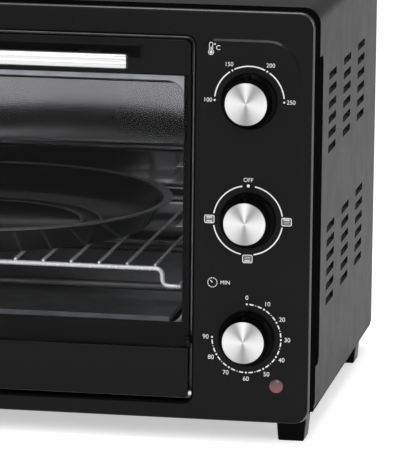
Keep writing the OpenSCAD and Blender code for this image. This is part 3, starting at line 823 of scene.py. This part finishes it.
def make_handle():
    low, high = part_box("door_handle_bar")
    steps = 6
    outline = rounded(low.y, high.y, low.z, high.z, (3 * MM, 3 * MM, 3.4 * MM, 3.4 * MM), steps)
    mid_z = (low.z + high.z) / 2
    groove, groove_depth = 0.9 * MM, 0.35 * MM

    def section(inset):
        """The bar's section, with a shallow groove along the middle of its front face."""
        points = outline(inset)
        front = low.y + inset
        # the front face runs from the third corner down to the fourth
        split = 3 * (steps + 1)
        extra = [(front, mid_z + groove), (front + groove_depth, mid_z + 0.35 * groove),
                 (front + groove_depth, mid_z - 0.35 * groove), (front, mid_z - groove)]
        return points[:split] + extra + points[split:]
    bm = bmesh.new()
    profile = [(1.1 * MM, low.x), (0.35 * MM, low.x + 0.35 * MM), (0, low.x + 1.1 * MM),
               (0, high.x - 1.1 * MM), (0.35 * MM, high.x - 0.35 * MM), (1.1 * MM, high.x)]
    solid(bm, section, profile, lambda a, b, along: (along, a, b))
    piece("handle_rail", bm, "handle_metal", "door", ["door_handle_bar"])


# ---------------------------------------------------------------- rack and pan

RACK_WIRES = 17
RACK_PITCH = 21.15 * MM


def make_rack():
    low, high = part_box("wire_rack")
    frame_r, wire_r = 1.9 * MM, 1.2 * MM
    mid = (low.x + high.x) / 2
    half = (high.x - low.x) / 2 - frame_r
    bottom = low.z + frame_r
    top = high.z - 2 * wire_r + 0.3 * MM - frame_r
    step = half - 13 * MM
    front = low.y + 1.5 * MM
    rear = high.y - 4 * MM
    bm = bmesh.new()
    for y in (front, rear):
        path = filleted([(mid - half, y, bottom), (mid - step, y, bottom), (mid - step, y, top),
                         (mid + step, y, top), (mid + step, y, bottom), (mid + half, y, bottom)],
                        5 * MM)
        tube(bm, path, frame_r, 16)
    for side in (-1, 1):
        x = mid + side * half
        tube(bm, [Vector((x, front - frame_r, bottom)), Vector((x, rear + frame_r, bottom))],
             frame_r, 16)
    for k in range(RACK_WIRES):
        x = mid + (k - RACK_WIRES // 2) * RACK_PITCH
        tube(bm, [Vector((x, low.y, high.z - wire_r)), Vector((x, high.y, high.z - wire_r))],
             wire_r, 12)
    piece("rack_wires", bm, "chrome", "rack", ["wire_rack"], sharp=60)


def make_pan():
    low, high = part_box("pizza_pan")
    rim = (high.x - low.x) / 2
    base, top = low.z, high.z
    floor = base + 1.2 * MM
    dip = 0.6 * MM

    def ring(r):
        """A shallow ring pressed into the floor."""
        return [(r + 2.2 * MM, floor), (r + 1.2 * MM, floor - 0.7 * dip), (r, floor - dip),
                (r - 1.2 * MM, floor - 0.7 * dip), (r - 2.2 * MM, floor)]
    outside = [(0, base), (134 * MM, base), (136.5 * MM, base + 1.6 * MM),
               (rim - 7.6 * MM, top - 3.4 * MM), (rim - 6 * MM, top - 1.9 * MM),
               (rim - 1.6 * MM, top - 1.7 * MM), (rim - 0.3 * MM, top - 1.3 * MM),
               (rim, top - 0.8 * MM), (rim - 0.4 * MM, top - 0.2 * MM), (rim - 1.4 * MM, top)]
    inside = [(rim - 5 * MM, top), (rim - 6.8 * MM, top - 0.7 * MM),
              (rim - 8.4 * MM, top - 2.6 * MM), (136 * MM, floor + 2.2 * MM), (133 * MM, floor)]
    inside += ring(96 * MM) + ring(81 * MM) + [(0, floor)]
    bm = bmesh.new()
    spot = centre("pizza_pan")
    # the rim and ring bands take the paler second material: worn coating and painted sheen
    rim_bands = range(len(outside) - 4, len(outside) + 1)
    # the two inner bands of each ring's four, counted from the start of inside
    ring_bands = [len(outside) + k for k in (5, 6, 10, 11)]
    lathe(bm, outside + inside, (spot.x, spot.y, 0), axis="z", count=160,
          marked=[*rim_bands, *ring_bands])
    piece("pan_body", bm, "pan_coating pan_edge", "pan", ["pizza_pan"], sharp=50)


# ---------------------------------------------------------------- knobs and lamp

def make_knobs():
    for name in KNOBS:
        low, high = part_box(name + "_knob")
        x = (low.x + high.x) / 2
        z = centre(name + "_shaft").z
        cap_low, cap_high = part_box(name + "_cap")
        cap_r = (cap_high.x - cap_low.x) / 2
        face = FRONT - cap_low.y
        skirt = (high.x - low.x) / 2
        bm = bmesh.new()
        lathe(bm, [(0, 1.2 * MM), (skirt - 0.6 * MM, 1.2 * MM), (skirt, 1.8 * MM),
                   (skirt, 3.2 * MM), (skirt - 0.5 * MM, 3.9 * MM), (skirt - 1.6 * MM, 4.9 * MM),
                   (cap_r + 2.2 * MM, 6.2 * MM), (cap_r + 1.5 * MM, 7.6 * MM),
                   (cap_r + 1.1 * MM, 10 * MM), (cap_r + 0.9 * MM, face - 0.8 * MM),
                   (cap_r + 0.6 * MM, face - 0.25 * MM), (cap_r + 0.25 * MM, face - 0.1 * MM),
                   (cap_r + 0.1 * MM, face - 0.3 * MM), (cap_r + 0.1 * MM, face - 1 * MM),
                   (0, face - 1 * MM)], (0, 0, 0))
        nib = rounded(-1.7 * MM, 1.7 * MM, cap_r + 0.2 * MM, skirt - 0.9 * MM, 1.2 * MM, 4)
        solid(bm, nib, [(0.5 * MM, -15.6 * MM), (0, -15 * MM), (-0.3 * MM, -3.6 * MM)],
              lambda a, b, depth: (a, depth, b))
        piece("grip_" + name, bm, "knob_plastic", name, [name + "_knob"],
              at=(x, FRONT, z))
        bm = bmesh.new()
        lathe(bm, [(0, face - 1 * MM), (cap_r, face - 1 * MM), (cap_r, face - 0.35 * MM),
                   (cap_r - 0.12 * MM, face - 0.1 * MM), (cap_r - 0.45 * MM, face),
                   (cap_r - 0.8 * MM, face), (0.2 * MM, face)], (0, 0, 0), count=128)
        piece("disc_" + name, bm, "spun_metal_painted_sheen", name, [name + "_cap"],
              at=(x, FRONT, z))


def make_lens():
    r = 5.1 * MM
    bm = bmesh.new()
    dome = [(r * math.cos(t), 0.9 * MM + 1.3 * MM * math.sin(t)) for t in quarter(6)]
    lathe(bm, [(0, -7 * MM), (4.4 * MM, -7 * MM), (4.4 * MM, -2 * MM), (r, -2 * MM), (r, 0.4 * MM)]
          + dome, (LENS.x, FRONT, LENS.z), count=48)
    piece("lens_dome", bm, "lens_red", "housing", ["indicator_lens"])


# ---------------------------------------------------------------- printed legends

INK = 0.06 * MM


def slab(bm, outline):
    """A thin printed shape on the control field, from points (x, z)."""
    front = [bm.verts.new(facing_front(a, b, -FIELD_RISE - INK)) for a, b in outline]
    back = [bm.verts.new(facing_front(a, b, -FIELD_RISE + INK)) for a, b in outline]
    bm.faces.new(front)
    bm.faces.new(back[::-1])
    bridge(bm, back, front)


def arc_band(bm, x, z, radius, width, start, stop):
    """Part of a ring; angles are clockwise from twelve o'clock, in degrees."""
    steps = max(2, int(abs(stop - start) / 4))
    outer, inner = [], []
    for i in range(steps + 1):
        t = math.radians(start + (stop - start) * i / steps)
        for r, points in ((radius + width / 2, outer), (radius - width / 2, inner)):
            points.append((x + r * math.sin(t), z + r * math.cos(t)))
    slab(bm, outer + inner[::-1])


def dot(bm, x, z, radius):
    slab(bm, round_hole(x, z, radius, 16)())


def bar(bm, x0, x1, z0, z1):
    slab(bm, [(x0, z0), (x1, z0), (x1, z1), (x0, z1)])


def frame_box(bm, x, z, width, height, line):
    """A rounded square outline, drawn as four bars and four corner arcs."""
    r = 1.0 * MM
    w, h = width / 2, height / 2
    for side in (-1, 1):
        bar(bm, x - w + r, x + w - r, z + side * h - line / 2, z + side * h + line / 2)
        bar(bm, x + side * w - line / 2, x + side * w + line / 2, z - h + r, z + h - r)
    for side_x, side_z, start in ((1, 1, 0), (1, -1, 90), (-1, -1, 180), (-1, 1, 270)):
        arc_band(bm, x + side_x * (w - r), z + side_z * (h - r), r, line, start, start + 90)


def write(bm, text, x, z, size, weight=0.0):
    """Adds lettering, centred on (x, z)."""
    curve = bpy.data.curves.new("lettering", "FONT")
    curve.body = text
    curve.size = size
    curve.align_x = "CENTER"
    curve.align_y = "CENTER"
    curve.extrude = INK
    curve.offset = weight
    holder = bpy.data.objects.new("lettering", curve)
    bpy.context.scene.collection.objects.link(holder)
    bpy.context.view_layer.update()
    mesh = bpy.data.meshes.new_from_object(holder.evaluated_get(
        bpy.context.evaluated_depsgraph_get()))
    upright = Matrix.Rotation(math.pi / 2, 4, "X")
    mesh.transform(Matrix.Translation(facing_front(x, z, -FIELD_RISE)) @ upright)
    bm.from_mesh(mesh)
    bpy.data.meshes.remove(mesh)
    bpy.data.objects.remove(holder)
    bpy.data.curves.remove(curve)


DIGITS = 4.7 * MM
# How far the outline of a letter is moved out, so this makes it a little thinner.
WEIGHT = -0.015 * MM
LINE = 0.95 * MM
LABEL_R = 30.2 * MM


def dial_spot(knob, angle, radius):
    t = math.radians(angle)
    spot = centre(knob + "_shaft")
    return spot.x + radius * math.sin(t), spot.z + radius * math.cos(t)


def finish_legend(bm, name):
    piece(name, bm, "legend_white", "housing")


def make_thermostat_legend():
    spot = centre("thermostat_shaft")
    bm = bmesh.new()
    for start, stop in ((-84, -34.5), (-26, 26), (34.5, 84)):
        arc_band(bm, spot.x, spot.z, RING_R, LINE, start, stop)
    for angle, value in ((-90, "100"), (-30, "150"), (30, "200"), (90, "250")):
        dot(bm, *dial_spot("thermostat", angle, RING_R), 0.75 * MM)
        write(bm, value, *dial_spot("thermostat", angle, LABEL_R + 0.3 * MM), 0.93 * DIGITS,
              WEIGHT)
    finish_legend(bm, "legend_thermostat")


def make_thermometer():
    """Thermometer with a bulb and a degree C beside it, above the thermostat."""
    spot = centre("thermostat_shaft")
    x, z = spot.x - 28.5 * MM, spot.z + 37.9 * MM
    stem, top, bulb_z = 1.2 * MM, z + 3 * MM, z - 3 * MM
    bm = bmesh.new()
    arc_band(bm, x, top, stem, 0.4 * MM, -90, 90)
    for side in (-1, 1):
        bar(bm, x + side * stem - 0.2 * MM, x + side * stem + 0.2 * MM, bulb_z + 1.5 * MM, top)
    arc_band(bm, x, bulb_z, 1.9 * MM, 0.4 * MM, 40, 320)
    dot(bm, x, bulb_z, 1.1 * MM)
    bar(bm, x - 0.3 * MM, x + 0.3 * MM, bulb_z, z + 0.9 * MM)
    for start in (0, 180):
        arc_band(bm, spot.x - 25.7 * MM, spot.z + 40.9 * MM, 0.55 * MM, 0.3 * MM, start,
                 start + 180)
    write(bm, "C", spot.x - 23.3 * MM, spot.z + 38.1 * MM, DIGITS)
    finish_legend(bm, "legend_thermometer")


def make_selector_legend():
    spot = centre("selector_shaft")
    bm = bmesh.new()
    for start, stop in ((11, 81), (99.5, 170), (191, 260), (280, 350)):
        arc_band(bm, spot.x, spot.z, RING_R, LINE, start, stop)
    dot(bm, *dial_spot("selector", 0, RING_R), 1.15 * MM)
    write(bm, "OFF", *dial_spot("selector", 0, 29.7 * MM), 4.2 * MM, WEIGHT)
    for angle, upper, lower in ((90, True, False), (180, False, True), (270, True, True)):
        x, z = dial_spot("selector", angle, 28.4 * MM)
        frame_box(bm, x, z, 6.9 * MM, 5.5 * MM, 0.6 * MM)
        # a thick line stands for a heater that is on
        thick, thin = (1.5 * MM, 0.45 * MM), (1.3 * MM, 0.2 * MM)
        for on, side in ((upper, 1), (lower, -1), (False, 0)):
            away, half = thick if on else thin
            level = z + side * away
            bar(bm, x - 2.3 * MM, x + 2.3 * MM, level - half, level + half)
    finish_legend(bm, "legend_selector")


def make_timer_legend():
    """Tens of minutes from 0 to 90, with a small dot at each five."""
    spot = centre("timer_shaft")
    bm = bmesh.new()
    for k in range(10):
        angle = 30 * k
        dot(bm, *dial_spot("timer", angle, RING_R), 0.72 * MM)
        write(bm, str(10 * k), *dial_spot("timer", angle, LABEL_R), DIGITS, WEIGHT)
        if k < 9:
            arc_band(bm, spot.x, spot.z, RING_R, LINE, angle + 4.4, angle + 11.6)
            dot(bm, *dial_spot("timer", angle + 15, RING_R), 0.4 * MM)
            arc_band(bm, spot.x, spot.z, RING_R, LINE, angle + 18.4, angle + 25.6)
    finish_legend(bm, "legend_timer")


def make_clock():
    """Clock face with a hand, and MIN beside it, above the timer."""
    spot = centre("timer_shaft")
    x, z = spot.x - 25.6 * MM, spot.z + 40.7 * MM
    bm = bmesh.new()
    for k in range(12):
        arc_band(bm, x, z, 3.45 * MM, 0.5 * MM, 30 * k + 4, 30 * k + 26)
    slab(bm, [(x - 1.5 * MM, z + 1.8 * MM), (x - 1.8 * MM, z + 1.5 * MM),
              (x - 0.25 * MM, z - 0.25 * MM), (x + 0.25 * MM, z + 0.25 * MM)])
    write(bm, "MIN", spot.x - 16.2 * MM, spot.z + 40.8 * MM, 4.1 * MM, WEIGHT)
    finish_legend(bm, "legend_clock")


# ---------------------------------------------------------------- carried CAD nodes

NODE_FINISH = {
    "galvanised": ("back_cover", "heat_shield", "control_bracket", "crumb_tray"),
    "dark_steel": ("base_plate", "hinge_block_left", "hinge_block_right", "hinge_arm_left",
                   "hinge_arm_right"),
    "liner_steel": ("rack_rail_left", "rack_rail_right"),
    "heater_sheath": ("upper_heater_front", "upper_heater_rear", "lower_heater_front",
                      "lower_heater_rear"),
    "ceramic": ("heater_insulators", "terminal_block"),
    "switch_plastic": ("thermostat_switch", "timer_body", "lamp_holder"),
    "black_plastic": ("selector_switch", "handle_posts", "cable_gland"),
    "screw_steel": ("foot_screws", "bracket_screws", "handle_screws", "hinge_pins",
                    "thermostat_shaft", "selector_shaft", "timer_shaft"),
    "chrome": ("timer_bell",),
}


def finish_nodes():
    for mat, nodes in NODE_FINISH.items():
        for node in nodes:
            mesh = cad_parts[node].data
            mesh.materials.clear()
            mesh.materials.append(MATS[mat])


# ---------------------------------------------------------------- camera, light and floor

# The camera: angles in radians, distance from the point it looks at in metres, lens in mm.
YAW, PITCH, ROLL = 0.1704, 0.1839, 0.011
DISTANCE = 2.9114
LENS_MM = 320
AIM_OFFSET = Vector((-30.2 * MM, 0, -4.7 * MM))


def make_camera():
    out = Vector((math.sin(YAW) * math.cos(PITCH), -math.cos(YAW) * math.cos(PITCH),
                  math.sin(PITCH)))
    level = Vector((math.cos(YAW), math.sin(YAW), 0))
    upward = out.cross(level)
    right = level * math.cos(ROLL) + upward * math.sin(ROLL)
    up = upward * math.cos(ROLL) - level * math.sin(ROLL)
    knob = centre("selector_shaft")
    spot = Vector((knob.x, FRONT, knob.z)) + AIM_OFFSET + out * DISTANCE
    data = bpy.data.cameras.new("camera")
    data.lens = LENS_MM
    data.sensor_width = 36
    data.clip_end = 200
    camera = bpy.data.objects.new("camera", data)
    camera.matrix_world = Matrix((
        (right.x, up.x, out.x, spot.x), (right.y, up.y, out.y, spot.y),
        (right.z, up.z, out.z, spot.z), (0, 0, 0, 1)))
    bpy.context.scene.collection.objects.link(camera)
    bpy.context.scene.camera = camera


def softbox(name, spot, aim, size, power):
    data = bpy.data.lights.new(name, "AREA")
    data.shape = "RECTANGLE"
    data.size, data.size_y = size
    data.energy = power
    lamp = bpy.data.objects.new(name, data)
    lamp.location = spot
    lamp.rotation_euler = (Vector(aim) - Vector(spot)).to_track_quat("-Z", "Y").to_euler()
    bpy.context.scene.collection.objects.link(lamp)


SKY_LEVEL = 0.5
PAPER_GLOW = 0.5
# Soft glows in the sky, as (direction, cosine of the half angle, brightness at the middle).
SKY_GLOWS = (((-0.1, -0.97, 0.2), 0.86, 0.9), ((0.05, -0.8, 0.55), 0.94, 4.0))


def make_stage():
    scene = bpy.context.scene
    scene.view_settings.view_transform = "Standard"
    world = bpy.data.worlds.new("studio")
    scene.world = world
    world.use_nodes = True
    nodes, links = world.node_tree.nodes, world.node_tree.links
    nodes["Background"].inputs["Color"].default_value = (1, 1, 1, 1)
    sky = nodes.new("ShaderNodeTexCoord")
    total = None
    for toward, start, level in SKY_GLOWS:
        dot_product = nodes.new("ShaderNodeVectorMath")
        dot_product.operation = "DOT_PRODUCT"
        dot_product.inputs[1].default_value = Vector(toward).normalized()
        links.new(sky.outputs["Generated"], dot_product.inputs[0])
        ramp = nodes.new("ShaderNodeMapRange")
        ramp.interpolation_type = "SMOOTHSTEP"
        ramp.inputs["From Min"].default_value = start
        ramp.inputs["To Max"].default_value = level
        links.new(dot_product.outputs["Value"], ramp.inputs["Value"])
        add = nodes.new("ShaderNodeMath")
        add.inputs[0].default_value = SKY_LEVEL
        if total:
            links.new(total, add.inputs[0])
        links.new(ramp.outputs["Result"], add.inputs[1])
        total = add.outputs["Value"]
    links.new(total, nodes["Background"].inputs["Strength"])
    bm = bmesh.new()
    bmesh.ops.create_grid(bm, x_segments=4, y_segments=4, size=40)
    mesh = bpy.data.meshes.new("floor")
    bm.to_mesh(mesh)
    bm.free()
    floor = bpy.data.objects.new("floor", mesh)
    scene.collection.objects.link(floor)
    paper = material("paper", (0.9, 0.9, 0.9), 0.9, specular=0.1)
    colour_between(paper, noise(paper, 2), (0.88, 0.88, 0.88), (0.92, 0.92, 0.92))
    glow = paper.node_tree.nodes["Principled BSDF"]
    glow.inputs["Emission Color"].default_value = (1, 1, 1, 1)
    glow.inputs["Emission Strength"].default_value = PAPER_GLOW
    paper.cycles.emission_sampling = "NONE"
    mesh.materials.append(paper)
    softbox("overhead", (0.2, -0.2, 3.0), (0, 0, 0), (2.0, 1.2), 26)
    softbox("right", (2.4, -0.9, 1.1), (0, 0, 0.15), (1.6, 1.6), 15)
    softbox("left", (-2.4, -1.2, 1.1), (0, 0, 0.15), (1.2, 1.6), 12)


for make in (make_camera, make_stage, make_bezel, make_control_field, make_cover,
             make_side_grips, make_flange, make_liner, make_feet, make_back_fittings, make_door,
             make_handle, make_rack, make_pan, make_knobs, make_lens, make_thermostat_legend,
             make_thermometer, make_selector_legend, make_timer_legend, make_clock,
             finish_nodes):
    make()
